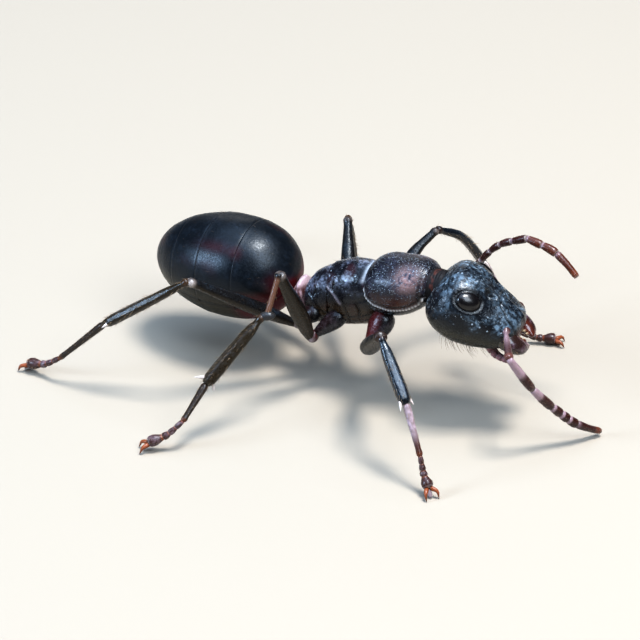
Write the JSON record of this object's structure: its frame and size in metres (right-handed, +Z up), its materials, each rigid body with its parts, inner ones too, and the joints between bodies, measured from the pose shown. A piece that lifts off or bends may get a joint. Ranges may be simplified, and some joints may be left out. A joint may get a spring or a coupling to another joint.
{
  "type": "carpenter ant",
  "caption": "Life-size still model of a walking carpenter ant worker, head low, one feeler on the ground, standing on small flats under its feet.",
  "frame": {"origin": "on the floor under the middle of the ant's outline, feelers and feet included", "axes": "+X the way the ant heads, +Y its left side, +Z up; the feet stand on Z = 0"},
  "size_m": [0.017, 0.0134, 0.0051],
  "materials": {
    "black_shell": "blue-black insect shell, finely grained, satin to glossy",
    "brown_shell": "dark red-brown insect shell, finely grained, satin",
    "eye": "glossy black faceted eye",
    "mandible": "glossy dark red-brown horn",
    "feeler": "red-brown joints with pale rings between them, satin",
    "leg": "black-brown shell with fine short bristles, satin",
    "tarsus": "red-brown toe joints, satin"
  },
  "bodies": {
    "root": {"pronotum": "brown_shell", "mesothorax": "black_shell", "propodeum": "black_shell", "petiole": "brown_shell", "gaster_segment_1": "black_shell", "gaster_segment_2": "black_shell", "gaster_segment_3": "black_shell", "gaster_segment_4": "black_shell", "gaster_segment_5": "black_shell", "head": "black_shell", "eye_right": "eye", "mandible_right": "mandible", "palp_right": "feeler", "eye_left": "eye", "mandible_left": "mandible", "palp_left": "feeler", "neck": "brown_shell", "scape_right": "feeler", "funiculus_base_right": "feeler", "funiculus_tip_right": "feeler", "scape_left": "feeler", "funiculus_base_left": "feeler", "funiculus_tip_left": "feeler", "coxa_right_fore": "brown_shell", "femur_right_fore": "leg", "tibia_right_fore": "leg", "tarsus_right_fore": "tarsus", "foot_right_fore": "tarsus", "coxa_right_mid": "brown_shell", "femur_right_mid": "leg", "tibia_right_mid": "leg", "tarsus_right_mid": "tarsus", "foot_right_mid": "tarsus", "coxa_right_hind": "brown_shell", "femur_right_hind": "leg", "tibia_right_hind": "leg", "tarsus_right_hind": "tarsus", "foot_right_hind": "tarsus", "coxa_left_fore": "brown_shell", "femur_left_fore": "leg", "tibia_left_fore": "leg", "tarsus_left_fore": "tarsus", "foot_left_fore": "tarsus", "coxa_left_mid": "brown_shell", "femur_left_mid": "leg", "tibia_left_mid": "leg", "tarsus_left_mid": "tarsus", "foot_left_mid": "tarsus", "coxa_left_hind": "brown_shell", "femur_left_hind": "leg", "tibia_left_hind": "leg", "tarsus_left_hind": "tarsus", "foot_left_hind": "tarsus"}
  },
  "joints": []
}
